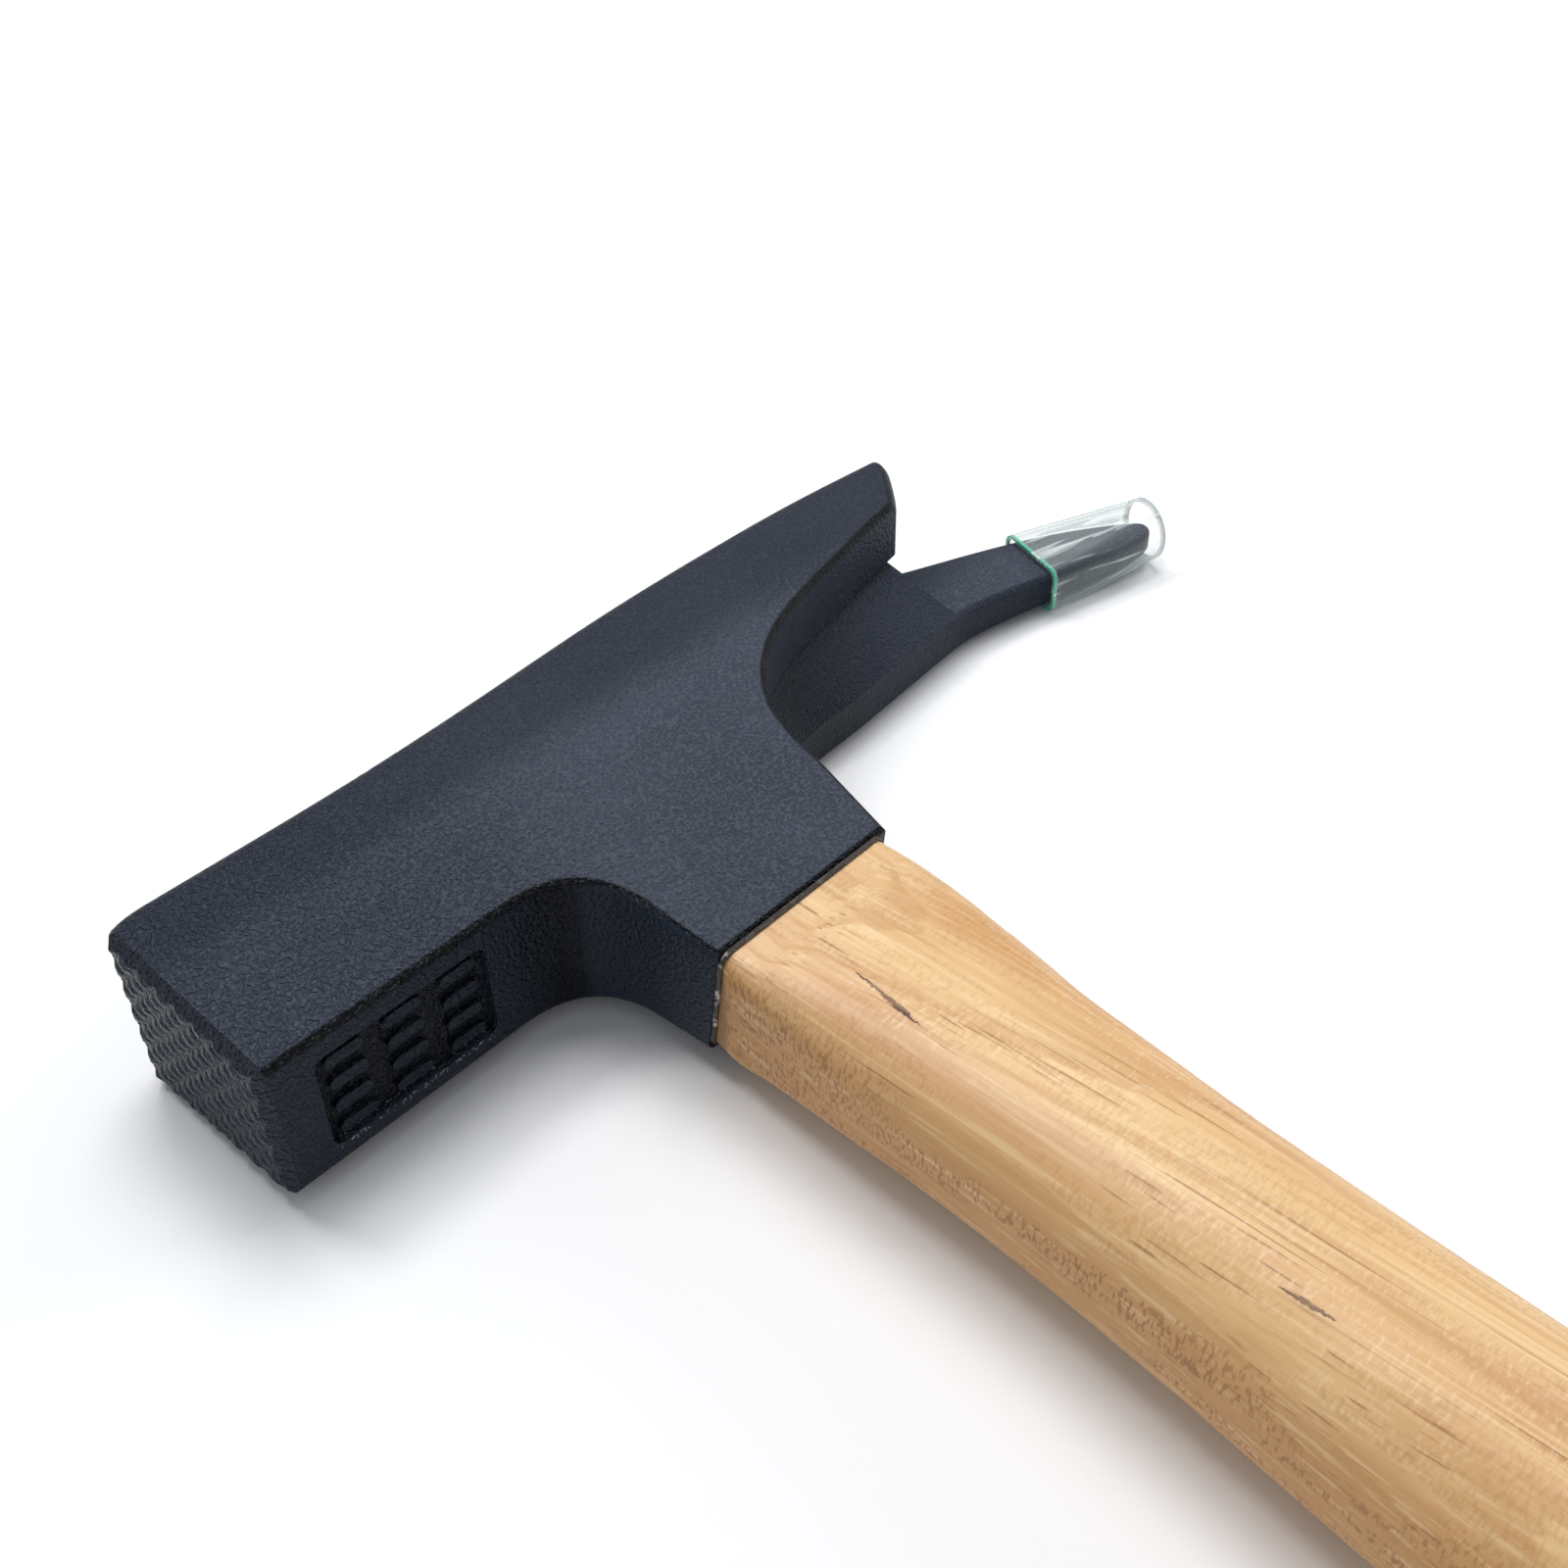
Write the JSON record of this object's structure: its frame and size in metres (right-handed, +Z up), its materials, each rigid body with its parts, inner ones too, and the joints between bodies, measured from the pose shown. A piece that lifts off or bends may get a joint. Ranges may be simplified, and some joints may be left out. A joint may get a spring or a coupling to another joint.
{
  "type": "roofing hammer",
  "caption": "Forged roofing hammer with a square milled face, a nail-starting groove, a side-forked claw with a long spike, an ash handle and a clear sleeve over the spike tip.",
  "frame": {"origin": "under the middle of the whole hammer, on the surface it lies on", "axes": "+Y up the handle towards the head, +X from the striking face towards the spike, +Z up through the thickness"},
  "size_m": [0.1656, 0.321, 0.0237],
  "materials": {
    "head_coating": "black powder coat with a fine orange-peel texture",
    "handle_wood": "clear semi-gloss lacquer on ash",
    "wedge_wood": "bare beech",
    "ring_steel": "bright drawn steel",
    "magnet_plating": "nickel plate",
    "glue": "dried glue",
    "clear_vinyl": "clear soft vinyl with a green edge tint"
  },
  "bodies": {
    "hammer": {"head": "head_coating", "handle": "handle_wood", "wooden_wedge": "wedge_wood", "ring_wedge": "ring_steel", "nail_magnet": "magnet_plating", "glue_bead": "glue"},
    "sleeve": {"tip_sleeve": "clear_vinyl"}
  },
  "joints": [
    {"name": "sleeve_pull", "type": "slide", "parent": "hammer", "child": "sleeve", "axis": [0.9426, -0.3338, 0], "range_m": [0, 0.03]}
  ]
}
